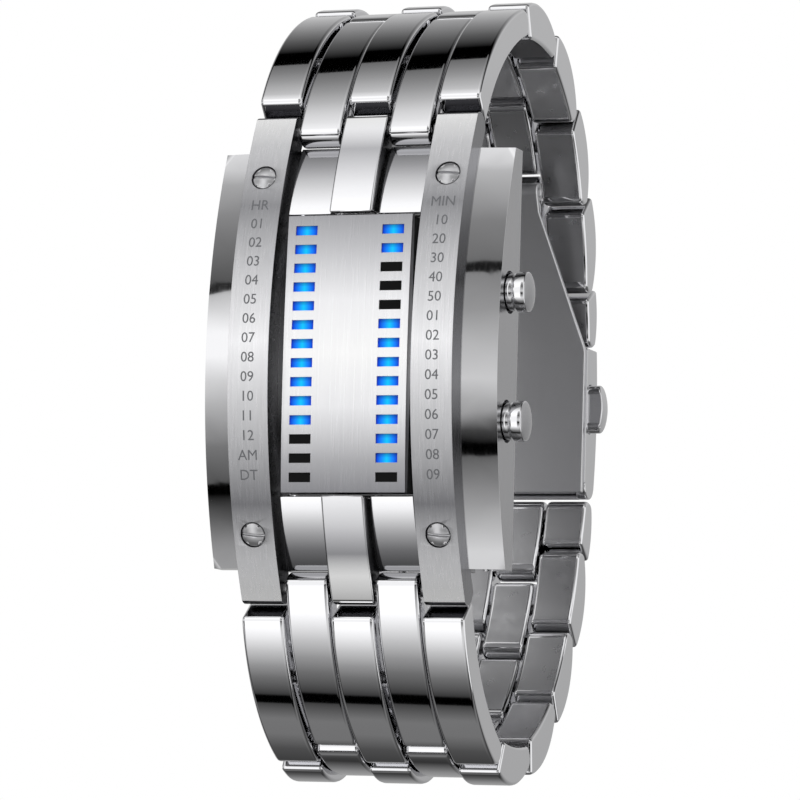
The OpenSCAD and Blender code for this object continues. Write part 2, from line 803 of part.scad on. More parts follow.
// Cover profiles, with s running down from the free end and the outside up
module at_cover() {
    translate([loop_depth, cover_top_z]) rotate(-90) children();
}
module cover_arc(r) {
    translate([cover_len / 2, cover_crown - cover_arc_r]) circle(cover_arc_r + r, $fn = 360);
}
module cover_outline() {
    at_cover() {
        intersection() {
            cover_arc(cover_end_r);
            translate([0, -cover_skirt]) square([cover_len, big]);
        }
        translate([cover_len, 0]) circle(cover_end_r);
    }
}
module cover_hollow() {
    at_cover() {
        intersection() {
            cover_arc(cover_end_r - cover_wall);
            translate([-big, -big]) square([big + cover_len, 2 * big]);
        }
        translate([cover_len, 0]) circle(cover_bore_r);
        translate([-big, -big]) square([2 * big, big]);
    }
}
module button_outline(grow) {
    r = button_t / 2 + grow;
    run = (button_l - button_t) / 2;
    translate([button_y, button_z]) {
        translate([0, run]) circle(r);
        translate([0, -run]) circle(r);
        square([2 * r, 2 * run], center = true);
    }
}
module clasp_cover() {
    color("silver") difference() {
        across(-half_w, half_w) cover_outline();
        across(-cover_in_x, cover_in_x) cover_hollow();
        across(-big, pin_end) translate(cover_axis) circle(clasp_pin_r);
        across(-big, big) button_outline(button_fit);
    }
}
module clasp_cover_pin() {
    color("darkgray") across(pin_start, pin_end) translate(cover_axis) circle(clasp_pin_r);
}

// The leaning parts of both blades run from their common hinge, with the outside up
module along_blades() {
    translate(blade_axis) rotate(aim(blade_line)) children();
}
module blade_side() {
    web_t = 0.8;
    flat_low_z = cover_axis[1] - blade_roll_r;
    difference() {
        along_blades() {
            translate([0, -blade_roll_r]) square([norm(blade_line) + blade_t, blade_t]);
            circle(blade_roll_r);
        }
        translate([flat_out_y, 0]) square([big, kink_z + blade_t]);
    }
    translate([flat_in_y, flat_low_z]) square([blade_t, kink_z - flat_low_z]);
    translate([flat_in_y, cover_axis[1]]) square([cover_skirt + blade_gap + blade_t, web_t]);
    translate(cover_axis) circle(blade_roll_r);
}
module blade_outline() {
    shoulder_z = blade_axis[1] - 2;
    wide = half_w - blade_gap;
    translate([0, flat_out_y, 0]) rotate([90, 0, 0]) linear_extrude(big) polygon([
        [-wide, -big],
        [-wide, kink_z],
        [-blade_tip_half, shoulder_z],
        [-blade_tip_half, big],
        [blade_tip_half, big],
        [blade_tip_half, shoulder_z],
        [wide, kink_z],
        [wide, -big]
    ]);
    block(blade_half, flat_in_y, big, -big, kink_z);
}
// The two rolled ends of the short blade turn in notches of the long one
module in_rolls(gap) {
    roll_w = blade_tip_half / 3;
    both_sides() across(roll_w - gap, 2 * roll_w + gap) children();
}
module clasp_long_blade() {
    notch_r = 1.5;
    color("darkgray") difference() {
        union() {
            intersection() {
                across(-big, big) blade_side();
                blade_outline();
            }
            both_sides() translate([catch_x, flat_in_y, button_z - catch_half])
                cube([catch_w, catch_top - flat_in_y, 2 * catch_half]);
        }
        in_rolls(blade_play) translate(blade_axis) circle(notch_r);
        across(-big, big) translate(blade_axis) circle(clasp_pin_r);
        across(-big, big) translate(cover_axis) circle(clasp_pin_r + pin_fit);
    }
}
module clasp_short_blade() {
    neck_h = 1.1;
    plate_end_z = clasp_top_z - neck_h;
    plate_h = blade_hinge_up - neck_h;
    slot_half = (col_w + column_gap) / 2;
    color("darkgray") difference() {
        union() {
            across(-col_step - col_w / 2, col_step + col_w / 2) intersection() {
                along_blades() translate([0, blade_split]) square([norm(blade_line), blade_t]);
                translate([0, plate_end_z]) square([big, plate_h]);
            }
            in_rolls(0) {
                along_blades() translate([0, blade_split]) square([2 * knuckle_r, blade_t]);
                translate(blade_axis) circle(blade_roll_r);
            }
            in_columns(pair) {
                translate(fold_axis) circle(link_h);
                intersection() {
                    translate([0, plate_end_z]) square([loop_depth, 2 * neck_h]);
                    along_blades() translate([0, blade_split]) square([2 * norm(blade_line), big]);
                }
            }
        }
        across(-big, big) translate(blade_axis) circle(clasp_pin_r + pin_fit);
        across(-big, big) translate(fold_axis) circle(pin_r + pin_fit);
        across(-slot_half, slot_half) translate(fold_axis) circle(flat_reach);
    }
}
module clasp_blade_pin() {
    half = blade_tip_half - pin_recess;
    color("lightgray") across(-half, half) translate(blade_axis) circle(clasp_pin_r);
}
module clasp_button() {
    flange_grow = 0.2;
    arm_t = 0.7;
    arm_half = 0.8;
    arm_y = catch_top + hook_gap;
    low_y = button_y - button_t / 2;
    color("silver") {
        intersection() {
            across(flange_x - flange_t, half_w + button_out) button_outline(0);
            translate([half_w + button_out - button_dome_r, button_y, button_z]) sphere(button_dome_r);
        }
        across(flange_x - flange_t, flange_x) button_outline(flange_grow);
        translate([hook_x, arm_y, button_z - arm_half]) cube([flange_x - hook_x, arm_t, 2 * arm_half]);
        translate([hook_x, low_y, button_z - arm_half])
            cube([hook_w, arm_y + arm_t - low_y, 2 * arm_half]);
    }
}
module clasp_button_right() {
    clasp_button();
}
module clasp_button_left() {
    mirror([1, 0, 0]) clasp_button();
}
// A strip bent into a U inside the cover, with a leg behind each button's hook
module clasp_spring() {
    strip_t = 0.3;
    strip_half = 0.5;
    leg_x = hook_x - button_travel - blade_play;
    wall_y = loop_depth + cover_crown + cover_end_r - cover_wall - 0.02;
    color("lightgray") translate([0, 0, button_z]) difference() {
        block(leg_x, button_y - button_t / 2, wall_y, -strip_half, strip_half);
        block(leg_x - strip_t, -big, wall_y - strip_t, -big, big);
    }
}

for (s = sides, k = [1 : link_count]) {
    link(s, k);
    link_pins(s, k);
}
mid_case();
rail_left();
rail_right();
rail_screws();
centre_strips();
flank_left();
flank_right();
flank_dowels();
lug_pins();
case_back();
back_screws();
back_gasket();
display_plate();
light_mask();
lamp_lenses_lit();
lamp_lenses_dark();
led_chips();
circuit_board();
module_frame();
push_switches();
coin_cells();
contact_strap();
pusher_2h();
pusher_4h();
pusher_spring_2h();
pusher_spring_4h();
pusher_tubes();
pusher_seals();
clasp_cover();
clasp_cover_pin();
clasp_long_blade();
clasp_short_blade();
clasp_blade_pin();
clasp_button_left();
clasp_button_right();
clasp_spring();
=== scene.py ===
import math

import bmesh
import bpy
from mathutils import Matrix, Vector


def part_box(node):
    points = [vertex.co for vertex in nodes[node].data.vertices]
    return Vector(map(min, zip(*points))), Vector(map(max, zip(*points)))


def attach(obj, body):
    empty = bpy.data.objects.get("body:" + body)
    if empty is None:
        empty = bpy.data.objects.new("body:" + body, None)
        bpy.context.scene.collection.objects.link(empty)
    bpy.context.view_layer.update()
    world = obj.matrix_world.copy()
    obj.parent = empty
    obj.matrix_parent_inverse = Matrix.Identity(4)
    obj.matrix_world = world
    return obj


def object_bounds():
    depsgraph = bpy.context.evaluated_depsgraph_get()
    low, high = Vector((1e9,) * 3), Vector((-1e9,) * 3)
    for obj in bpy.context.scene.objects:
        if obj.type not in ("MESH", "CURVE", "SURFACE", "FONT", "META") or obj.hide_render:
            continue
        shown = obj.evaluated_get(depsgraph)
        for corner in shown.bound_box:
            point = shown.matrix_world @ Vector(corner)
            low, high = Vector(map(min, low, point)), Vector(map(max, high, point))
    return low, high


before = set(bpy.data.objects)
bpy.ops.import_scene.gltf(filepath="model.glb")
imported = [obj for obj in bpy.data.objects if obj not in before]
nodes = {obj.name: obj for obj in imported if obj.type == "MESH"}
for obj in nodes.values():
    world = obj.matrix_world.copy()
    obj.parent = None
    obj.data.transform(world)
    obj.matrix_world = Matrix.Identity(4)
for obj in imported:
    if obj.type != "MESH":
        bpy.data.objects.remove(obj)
cad_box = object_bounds()
MM = 0.001

# Case block: a milled block of 316L stainless steel behind the two rails, with the module in it.
# Its own faces show only as the ground shoulders beside the centre strips and as thin sides.


def linear(code):
    """The linear colour of an sRGB hex value, as a shader reads it."""
    parts = [int(code[i : i + 2], 16) / 255 for i in (1, 3, 5)]
    return [c / 12.92 if c <= 0.04045 else ((c + 0.055) / 1.055) ** 2.4 for c in parts] + [1.0]


def add(owner, kind, settings=None, links=None):
    """Adds a node to a material or a world. settings are attributes or input values, and links
    are output sockets for its inputs. An input goes by its name or its number."""
    node = owner.node_tree.nodes.new(kind)
    for key, value in (settings or {}).items():
        if isinstance(key, int) or key in node.inputs:
            node.inputs[key].default_value = value
        else:
            setattr(node, key, value)
    for key, output in (links or {}).items():
        owner.node_tree.links.new(output, node.inputs[key])
    return node


def join(owner, output, node, socket):
    """Leads an output to an input of a node that is there already."""
    owner.node_tree.links.new(output, node.inputs[socket])


def new_material(name, **values):
    """A material with only a Principled shader, and that shader."""
    material = bpy.data.materials.new(name)
    material.use_nodes = True
    shader = material.node_tree.nodes["Principled BSDF"]
    for key, value in values.items():
        shader.inputs[key.replace("_", " ")].default_value = value
    return material, shader


def tone_by_height(material, place, tones):
    """A colour that goes through tones, pairs of a height in mm and a hex value."""
    low, high = tones[0][0], tones[-1][0]
    height = add(material, "ShaderNodeSeparateXYZ", links={"Vector": place}).outputs["Z"]
    part = add(
        material,
        "ShaderNodeMapRange",
        {"From Min": low * MM, "From Max": high * MM},
        {"Value": height},
    )
    ramp = add(material, "ShaderNodeValToRGB", links={"Fac": part.outputs["Result"]})
    stops = ramp.color_ramp.elements
    while len(stops) < len(tones):
        stops.new(0.5)
    for stop, (z_mm, tone) in zip(stops, tones):
        stop.position = (z_mm - low) / (high - low)
        stop.color = linear(tone)
    return ramp.outputs["Color"]


def metal(name, colour, rough, spread, marks_mm, relief):
    """A metal whose finish leaves marks. colour is one hex value, or tones by height. The
    roughness stays within spread of rough, marks_mm is the size of the marks along X, Y and Z,
    and relief is how strongly they catch the light."""
    noise_low, noise_high = 0.3, 0.7
    mark_height = 0.01 * MM
    material, shader = new_material(name, Metallic=1.0)
    place = add(material, "ShaderNodeTexCoord").outputs["Object"]
    if isinstance(colour, str):
        shader.inputs["Base Color"].default_value = linear(colour)
    else:
        join(material, tone_by_height(material, place, colour), shader, "Base Color")
    marks_at = add(
        material,
        "ShaderNodeMapping",
        {"Scale": [1 / (size * MM) for size in marks_mm]},
        {"Vector": place},
    )
    marks = add(
        material,
        "ShaderNodeTexNoise",
        {"Scale": 1.0, "Detail": 3.0, "Roughness": 0.6},
        {"Vector": marks_at.outputs["Vector"]},
    )
    level = add(
        material,
        "ShaderNodeMapRange",
        {
            "From Min": noise_low,
            "From Max": noise_high,
            "To Min": rough - spread,
            "To Max": rough + spread,
        },
        {"Value": marks.outputs["Fac"]},
    )
    join(material, level.outputs["Result"], shader, "Roughness")
    bump = add(
        material,
        "ShaderNodeBump",
        {"Strength": relief, "Distance": mark_height},
        {"Height": marks.outputs["Fac"]},
    )
    join(material, bump.outputs["Normal"], shader, "Normal")
    return material


def dress(names, material, edge=0.0, clamp=False):
    """Gives CAD nodes their finish and breaks their edges by edge mm, as tumbling does. clamp
    keeps the rounding within the narrow faces beside it."""
    weld_gap = 0.001 * MM
    flat_angle = math.radians(0.2)
    crease_angle = math.radians(30)
    edge_angle = math.radians(32)
    for name in names:
        piece = nodes[name]
        mesh = piece.data
        mesh.materials.clear()
        mesh.materials.append(material)
        if "custom_normal" in mesh.attributes:
            mesh.attributes.remove(mesh.attributes["custom_normal"])
        for face in mesh.polygons:
            face.use_smooth = True
        weld = piece.modifiers.new("weld", "WELD")
        weld.merge_threshold = weld_gap
        if not edge:
            split = piece.modifiers.new("sharp_edges", "EDGE_SPLIT")
            split.split_angle = crease_angle
            continue
        flats = piece.modifiers.new("whole_faces", "DECIMATE")
        flats.decimate_type = "DISSOLVE"
        flats.angle_limit = flat_angle
        bevel = piece.modifiers.new("broken_edges", "BEVEL")
        bevel.width = edge * MM
        bevel.segments = 3
        bevel.limit_method = "ANGLE"
        bevel.angle_limit = edge_angle
        bevel.use_clamp_overlap = clamp
        bevel.material = 0
        piece.modifiers.new("shade", "WEIGHTED_NORMAL").mode = "FACE_AREA"


# The ends beside the display are ground and buffed: a mirror with a trace of fine haze. Their
# colour is a painted reflection, bright in the middle and darker towards the bracelet.
painted_end_reflection = [
    (-21, "#949496"), (-18, "#a8a8ab"), (-16, "#c6c6c8"), (-13, "#eeeef0"),
    (13, "#f2f2f4"), (16, "#ccccce"), (18, "#b0b0b3"), (21, "#9c9c9f"),
]
buffed_steel_painted_reflection = metal("buffed_316L_steel_painted_reflection", painted_end_reflection, 0.08, 0.02, (0.25, 0.25, 1.6), 0.02)
dress(["mid_case"], buffed_steel_painted_reflection, 0.06)

# Rails: two bars of 316L steel, milled to the case's curve, brushed along their length and
# screwed down over the block. The brushing blurs what they mirror, and their colour is a painted
# sheen by height that changes along the curve. Its lines are drawn 0.09 mm wide, coarser than
# real ones, so that they show.
painted_rail_sheen = [
    (-23, "#ffffff"), (-20, "#d8d8da"), (-14, "#757578"), (1, "#f6f6f8"),
    (14, "#8f8f92"), (20, "#d0d0d2"), (23, "#ffffff"),
]
rails = ["rail_left", "rail_right"]
brushed_steel_painted_sheen = metal("brushed_316L_steel_painted_sheen", painted_rail_sheen, 0.3, 0.05, (0.09, 0.6, 7.0), 0.2)
dress(rails, brushed_steel_painted_sheen, 0.18, clamp=True)

# Their inner and end walls are left as milled, in a dark grey that is painted shade, so the
# bright edge stands out.
# The walls of the screw recesses, within screw_reach of a rail's middle, stay bright.
milled_steel_painted_shade = metal("milled_316L_steel_painted_shade", "#38383b", 0.3, 0.05, (0.3, 0.3, 0.3), 0.1)
rail_middle_x = 9.05
screw_reach = 1.5
end_z = 20
wall_share = 0.85


def face_finish(names, material, chosen):
    """Gives another finish to the faces of CAD nodes that chosen(face) picks."""
    for name in names:
        mesh = nodes[name].data
        mesh.materials.append(material)
        for face in mesh.polygons:
            if chosen(face):
                face.material_index = len(mesh.materials) - 1


def is_side_or_end(face):
    """Whether a face looks along X or, near the ends, along Z, by wall_share of its normal."""
    x, _, z = (abs(value) / MM for value in face.center)
    is_side = abs(face.normal.x) > wall_share and abs(x - rail_middle_x) > screw_reach
    return is_side or (abs(face.normal.z) > wall_share and z > end_z)


face_finish(rails, milled_steel_painted_shade, is_side_or_end)

# Their outer walls are satin, and their mid grey is partly painted shade between rail and flank.
satin_side_steel_painted_shade = metal("satin_rail_side_steel_painted_shade", "#8e8e91", 0.25, 0.04, (0.1, 0.6, 5.0), 0.05)


def is_outer_side(face):
    """Whether such a face looks away from the middle of the case."""
    outward = face.normal.x * face.center.x
    return is_side_or_end(face) and outward > wall_share * abs(face.center.x)


face_finish(rails, satin_side_steel_painted_shade, is_outer_side)

# The hour and minute marks are cut by a laser, one below the other, which leaves the steel a
# dull dark grey with hardly a reflection. The sizes are in mm.
rail_arc_r = 49.0
rail_front_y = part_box("rail_right")[0].y / MM
first_mark_z = 14.0125
mark_pitch = 1.815
mark_size = 1.36
mark_proud = 0.012
etch_grain_mm = 0.05
etch_rough_low, etch_rough_high = 0.5, 0.75

etched_steel, etched_shader = new_material(
    "laser_etched_316L_steel", Base_Color=linear("#6c6d70"), Metallic=0.6
)
etch_grain = add(
    etched_steel,
    "ShaderNodeTexNoise",
    {"Scale": 1 / (etch_grain_mm * MM), "Detail": 2.0},
    {"Vector": add(etched_steel, "ShaderNodeTexCoord").outputs["Object"]},
)
etch_level = add(
    etched_steel,
    "ShaderNodeMapRange",
    {"To Min": etch_rough_low, "To Max": etch_rough_high},
    {"Value": etch_grain.outputs["Fac"]},
)
join(etched_steel, etch_level.outputs["Result"], etched_shader, "Roughness")


def new_object(name, data):
    """An object in the scene that shows a mesh, a text, a camera or a lamp."""
    made = bpy.data.objects.new(name, data)
    bpy.context.scene.collection.objects.link(made)
    return made


def etched_marks(name, words, middle_x):
    """One mesh of short words down a rail, bent to its front."""
    marks = bmesh.new()
    for row, word in enumerate(words):
        text = bpy.data.curves.new("mark", "FONT")
        text.body = word
        text.align_x = "CENTER"
        text.align_y = "CENTER"
        text.size = mark_size
        text.extrude = mark_proud
        text.resolution_u = 3
        shape = new_object("mark", text)
        bpy.context.view_layer.update()
        flat = bpy.data.meshes.new_from_object(shape)
        row_z = first_mark_z - row * mark_pitch
        for vertex in flat.vertices:
            across, up, out = vertex.co
            z = row_z + up
            y = rail_front_y + rail_arc_r - math.sqrt(rail_arc_r**2 - z**2) - out
            vertex.co = Vector((middle_x + across, y, z)) * MM
        marks.from_mesh(flat)
        bpy.data.objects.remove(shape)
        bpy.data.meshes.remove(flat)
        bpy.data.curves.remove(text)
    bmesh.ops.recalc_face_normals(marks, faces=marks.faces)
    mesh = bpy.data.meshes.new(name)
    marks.to_mesh(mesh)
    marks.free()
    mesh.materials.append(etched_steel)
    piece = new_object(name, mesh)
    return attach(piece, "watch_case")


hours = ["HR", *[f"{n:02d}" for n in range(1, 13)], "AM", "DT"]
minutes = ["MIN", *[str(n) for n in range(10, 60, 10)], *[f"{n:02d}" for n in range(1, 10)]]
etched_marks("hour_marks", hours, -rail_middle_x)
etched_marks("minute_marks", minutes, rail_middle_x)

# Centre strips: short bars of the same steel, let into the block between the rails, which carry
# the middle column of the bracelet on to the display. They are polished to a clear mirror, and
# their colour is a painted reflection by height, brighter at their outer ends. Their sides and
# ends are left as milled, in the same painted shade as the rails' walls.
painted_strip_reflection = [
    (-22, "#ffffff"), (-20.5, "#ffffff"), (-18.5, "#8e8e91"), (-13, "#dcdcde"),
    (13, "#f8f8fa"), (19.5, "#b0b0b3"), (21.5, "#f4f4f6"), (22.5, "#ffffff"),
]
strip_steel_painted_reflection = metal("polished_strip_steel_painted_reflection", painted_strip_reflection, 0.08, 0.02, (0.25, 0.25, 1.6), 0.02)
dress(["centre_strips"], strip_steel_painted_reflection, 0.2)
face_finish(["centre_strips"], milled_steel_painted_shade, is_side_or_end)

# Flanks: steel side pieces with a curved, sloping front, pinned to the block's sides. The right
# one is bored for the two pushers. They are polished to a mirror with hardly any haze.
flanks = ["flank_left", "flank_right"]
polished_steel = metal("polished_316L_steel", "#e8e8ea", 0.05, 0.015, (0.25, 0.25, 1.6), 0.02)
dress(flanks, polished_steel, 0.2, clamp=True)

# Their flat outer sides are satin, a greyer tone than the fronts, with fine lines along them.
satin_steel = metal("satin_316L_steel", "#c0c0c2", 0.22, 0.04, (0.1, 0.6, 5.0), 0.05)
flat_side_share = 0.95
face_finish(flanks, satin_steel, lambda face: abs(face.normal.x) > flat_side_share)

# Display plate: a thin curved steel plate with two columns of punched windows, held between the
# rails. It is brushed upright, which softens its sheen, and its colour is a painted sheen by
# height, brightest where the curve faces the front. Its lines are drawn 0.07 mm wide, coarser
# than real ones, so that they show.
painted_plate_sheen = [
    (-13, "#8c8c90"), (-10, "#b0b0b3"), (-5, "#f0f0f2"), (0, "#ffffff"),
    (5, "#f4f4f6"), (10, "#c4c4c7"), (13, "#a6a6a9"),
]
plate_steel_painted_sheen = metal("brushed_display_plate_steel_painted_sheen", painted_plate_sheen, 0.3, 0.04, (0.07, 0.5, 9.0), 0.1)
dress(["display_plate"], plate_steel_painted_sheen, 0.04)

# Light mask: a black ABS grid behind the plate, moulded in one piece, that keeps each lamp's
# light in its own window. Its matt black swallows stray light. The switches are moulded of the
# same plastic.


def moulded(name, colour, rough, grain_mm, relief, **values):
    """A moulded or cast material. grain_mm is the size of the grain that its tool leaves, which
    is drawn coarser than a real one, so that it shows."""
    rough_spread = 0.06
    grain_height = 0.02 * MM
    material, shader = new_material(name, Base_Color=linear(colour), **values)
    grain = add(
        material,
        "ShaderNodeTexNoise",
        {"Scale": 1 / (grain_mm * MM), "Detail": 4.0},
        {"Vector": add(material, "ShaderNodeTexCoord").outputs["Object"]},
    )
    level = add(
        material,
        "ShaderNodeMapRange",
        {"To Min": rough - rough_spread, "To Max": rough + rough_spread},
        {"Value": grain.outputs["Fac"]},
    )
    join(material, level.outputs["Result"], shader, "Roughness")
    bump = add(
        material,
        "ShaderNodeBump",
        {"Strength": relief, "Distance": grain_height},
        {"Height": grain.outputs["Fac"]},
    )
    join(material, bump.outputs["Normal"], shader, "Normal")
    return material


black_abs = moulded("moulded_black_ABS", "#0b0b0d", 0.55, 0.2, 0.3, IOR=1.54)
dress(["light_mask", "push_switches"], black_abs)

# Lamp lenses: blocks of cast acrylic in the windows. A lit one glows cyan from its middle, where
# the diode sits, and goes to a deep blue at its ends. It is dimmer at the top, in the shade of
# the window's edge, and the surface itself hardly mirrors. The sizes are in mm.
lamp_x = 4.265
lamp_half_w = 1.02
lamp_pitch = 1.774
glow_tones = ("#08c8ff", "#0a86ff", "#0230c4")
# A lens's middle and top in its row, as shares of the pitch
lens_middle, lens_top = 0.5, 0.74
shaded_level = 0.4

lit_lens, lit_shader = new_material(
    "cast_acrylic_lens_lit", Base_Color=linear("#02103a"), Roughness=0.25, Specular_IOR_Level=0.1
)
lens_place = add(
    lit_lens,
    "ShaderNodeSeparateXYZ",
    links={"Vector": add(lit_lens, "ShaderNodeTexCoord").outputs["Object"]},
)
to_side = add(
    lit_lens, "ShaderNodeMath", {"operation": "ABSOLUTE"}, {0: lens_place.outputs["X"]}
)
from_lamp = add(
    lit_lens,
    "ShaderNodeMath",
    {"operation": "SUBTRACT", 1: lamp_x * MM},
    {0: to_side.outputs[0]},
)
off_middle = add(
    lit_lens, "ShaderNodeMath", {"operation": "ABSOLUTE"}, {0: from_lamp.outputs[0]}
)
glow = add(
    lit_lens,
    "ShaderNodeMapRange",
    {"From Max": lamp_half_w * MM},
    {"Value": off_middle.outputs[0]},
)
glow_colour = add(lit_lens, "ShaderNodeValToRGB", links={"Fac": glow.outputs["Result"]})
glow_stops = glow_colour.color_ramp.elements
glow_stops.new(0.5)
for stop, tone in zip(glow_stops, glow_tones):
    stop.color = linear(tone)
join(lit_lens, glow_colour.outputs["Color"], lit_shader, "Emission Color")
rows_up = add(
    lit_lens,
    "ShaderNodeMath",
    {"operation": "DIVIDE", 1: lamp_pitch * MM},
    {0: lens_place.outputs["Z"]},
)
row_part = add(lit_lens, "ShaderNodeMath", {"operation": "FRACT"}, {0: rows_up.outputs[0]})
shade = add(
    lit_lens,
    "ShaderNodeMapRange",
    {"From Min": lens_middle, "From Max": lens_top, "To Min": 1.0, "To Max": shaded_level},
    {"Value": row_part.outputs[0]},
)
join(lit_lens, shade.outputs["Result"], lit_shader, "Emission Strength")
dress(["lamp_lenses_lit"], lit_lens)

# An unlit lens is of smoked acrylic, which looks a plain soft black.
dark_lens = moulded("smoked_cast_acrylic_lens", "#030303", 0.3, 0.3, 0.05, Specular_IOR_Level=0.1)
dress(["lamp_lenses_dark"], dark_lens)

# Diodes: small chips in cast epoxy, soldered to the board, one behind each window. The epoxy is
# a cream colour with a soft gloss.
chip_epoxy = moulded("cast_epoxy_chip", "#e9e4cf", 0.4, 0.15, 0.1, IOR=1.55)
dress(["led_chips"], chip_epoxy)

# Circuit board: green glass-epoxy laminate, pressed and sawn to shape, which carries the diodes.
# The weave of its glass cloth, a thread each 0.25 mm, shows faintly through the green.
weave_mm = 0.25
board_laminate, board_shader = new_material("glass_epoxy_laminate", IOR=1.55, Roughness=0.45)
weave = add(
    board_laminate,
    "ShaderNodeTexChecker",
    {"Scale": 1 / (weave_mm * MM), "Color1": linear("#0d5227"), "Color2": linear("#12642f")},
    {"Vector": add(board_laminate, "ShaderNodeTexCoord").outputs["Object"]},
)
join(board_laminate, weave.outputs["Color"], board_shader, "Base Color")
dress(["circuit_board"], board_laminate)

# Module frame: an ivory moulded nylon frame, matt with a fine grain, that holds the board and
# two coin cells. The cells are nickel plated, a slightly worn, even shine, and a strap of rolled
# brass, a dull warm yellow, lies over them. The gasket and seals are of matt black rubber.
frame_nylon = moulded("moulded_nylon_frame", "#e3dcc8", 0.5, 0.3, 0.2, IOR=1.53)
dress(["module_frame"], frame_nylon)
cell_steel = metal("nickel_plated_cell_steel", "#bdbdbc", 0.25, 0.06, (0.2, 0.2, 0.2), 0.15)
dress(["coin_cells"], cell_steel, 0.1)
strap_brass = metal("rolled_brass_strap", "#c8a558", 0.3, 0.06, (0.15, 0.6, 3.0), 0.2)
dress(["contact_strap"], strap_brass)
nitrile = moulded("moulded_nitrile_rubber", "#141414", 0.7, 0.25, 0.3, IOR=1.52)
dress(["back_gasket", "pusher_seals"], nitrile)

# Case back: a flat steel lid with rounded corners, screwed to the block. It is brushed across,
# which gives it a soft sheen from side to side. Its lines are drawn 0.1 mm wide, coarser than
# real ones, so that they show.
back_steel = metal("brushed_case_back_steel", "#bcbcbe", 0.32, 0.05, (6.0, 0.5, 0.1), 0.3)
dress(["case_back"], back_steel, 0.15)

# Screws, dowels and pins: turned steel, with a soft shine from the fine turning marks. The rail
# screws have a low domed head that sits in a recess whose edge is broken to a bright ring.
turned_steel = metal("turned_polished_steel", "#dcdcde", 0.36, 0.04, (0.15, 0.15, 0.15), 0.04)
dress(["rail_screws", "back_screws"], turned_steel, 0.06)
dress(["flank_dowels", "lug_pins"], turned_steel, 0.05)

# Pushers: turned and polished steel buttons, each on a stem in its own tube, with a return
# spring. Their domed ends are satin like the flank beside them.
pushers = ["pusher_2h", "pusher_4h"]
dome_share = 0.8
dress(pushers, polished_steel, 0.1)
face_finish(pushers, satin_steel, lambda face: face.normal.x > dome_share)
dress(["pusher_tubes", "pusher_spring_2h", "pusher_spring_4h"], turned_steel)

# Bracelet: solid steel links in five columns, polished outside. The columns of a link are
# pinned together through their middle and turn on a pin at each end.
ends = [f"{half}_{k}" for half in ("12h", "6h") for k in range(1, 7)]
link_names = [f"link_{end}" for end in ends]
dress(link_names, polished_steel, 0.36)

# Their inner faces are only tumbled, which leaves them dull with small dents. Their darker grey
# is partly painted shade of the inside of the loop.
tumbled_steel_painted_shade = metal("tumbled_316L_steel_painted_shade", "#c8c8ca", 0.34, 0.08, (1.2, 1.2, 1.2), 0.25)
loop_middle = Vector((0, 16, 0)) * MM
side_share = 0.5
inward_share = 0.5


def faces_wrist(face):
    """Whether a face looks inward, to the middle of the loop, and not to the side."""
    inward = (loop_middle - face.center).normalized()
    return abs(face.normal.x) < side_share and face.normal.dot(inward) > inward_share


face_finish(link_names, tumbled_steel_painted_shade, faces_wrist)
dress([f"link_pins_{end}" for end in ends], turned_steel, 0.05)

# Clasp: a polished folded cover over two finely blasted blades, with a sprung button on each
# side. The blasting leaves the blades an even, light grey. Its pits are drawn 0.2 mm wide,
# coarser than real ones, so that they show.
dress(["clasp_cover"], polished_steel, 0.14)
blade_steel = metal("blasted_blade_steel", "#e4e4e6", 0.36, 0.05, (0.2, 0.2, 0.2), 0.1)
dress(["clasp_long_blade", "clasp_short_blade"], blade_steel, 0.12)
dress(["clasp_button_left", "clasp_button_right"], polished_steel, 0.12)
dress(["clasp_cover_pin", "clasp_blade_pin", "clasp_spring"], turned_steel, 0.04)

# Camera: a long lens, so the watch hardly narrows with distance. It stands in front and to the
# right, a little below the middle of the watch, and is rolled slightly.
camera_mm = Vector((150.27, -416.54, -50.02))
lens_mm = 213.33
turn_right, look_up, roll = (math.radians(angle) for angle in (19.5, -6.0, 1.617))
back_x = math.sin(turn_right) * math.cos(look_up)
back_y = -math.cos(turn_right) * math.cos(look_up)
back = Vector((back_x, back_y, math.sin(look_up)))
level_x = Vector((math.cos(turn_right), math.sin(turn_right), 0.0))
level_y = back.cross(level_x)
side_x = math.cos(roll) * level_x + math.sin(roll) * level_y
side_y = math.cos(roll) * level_y - math.sin(roll) * level_x
turn = Matrix((side_x, side_y, back)).transposed().to_4x4()
camera = new_object("camera", bpy.data.cameras.new("camera"))
camera.data.sensor_width = 36
camera.data.lens = lens_mm
camera.data.clip_start = 0.01
camera.matrix_world = Matrix.Translation(camera_mm * MM) @ turn
bpy.context.scene.camera = camera

# Studio: a ring of white, grey and black cards round the watch, for its steel to mirror, a pale
# floor that shows only from above, two soft lamps and a white surround. The cards glow, each
# place at its own level, and show only in the steel.
ring_r = 0.8
card_light = bpy.data.materials.new("white_screen")
card_light.use_nodes = True
card_light.node_tree.nodes.clear()
card_level = add(card_light, "ShaderNodeAttribute", {"attribute_name": "level"})
card_glow = add(
    card_light,
    "ShaderNodeEmission",
    {"Color": linear("#ffffff")},
    {"Strength": card_level.outputs["Fac"]},
)
add(card_light, "ShaderNodeOutputMaterial", links={"Surface": card_glow.outputs[0]})


def ring_strip(name, x_low, x_high, levels):
    """A strip of the ring, from x_low to x_high. levels are pairs of an angle in degrees, up
    from straight in front of the display, and how bright the strip is there."""
    corners = []
    corner_levels = []
    for angle, level in levels:
        y = -ring_r * math.cos(math.radians(angle))
        z = ring_r * math.sin(math.radians(angle))
        corners += [(x_low, y, z), (x_high, y, z)]
        corner_levels += [level, level]
    faces = [(i, i + 1, i + 3, i + 2) for i in range(0, len(corners) - 2, 2)]
    mesh = bpy.data.meshes.new(name)
    mesh.from_pydata(corners, [], faces)
    mesh.attributes.new("level", "FLOAT", "POINT").data.foreach_set("value", corner_levels)
    mesh.materials.append(card_light)
    piece = new_object(name, mesh)
    piece.visible_camera = False
    piece.visible_diffuse = False
    piece.visible_shadow = False
    piece.visible_transmission = False


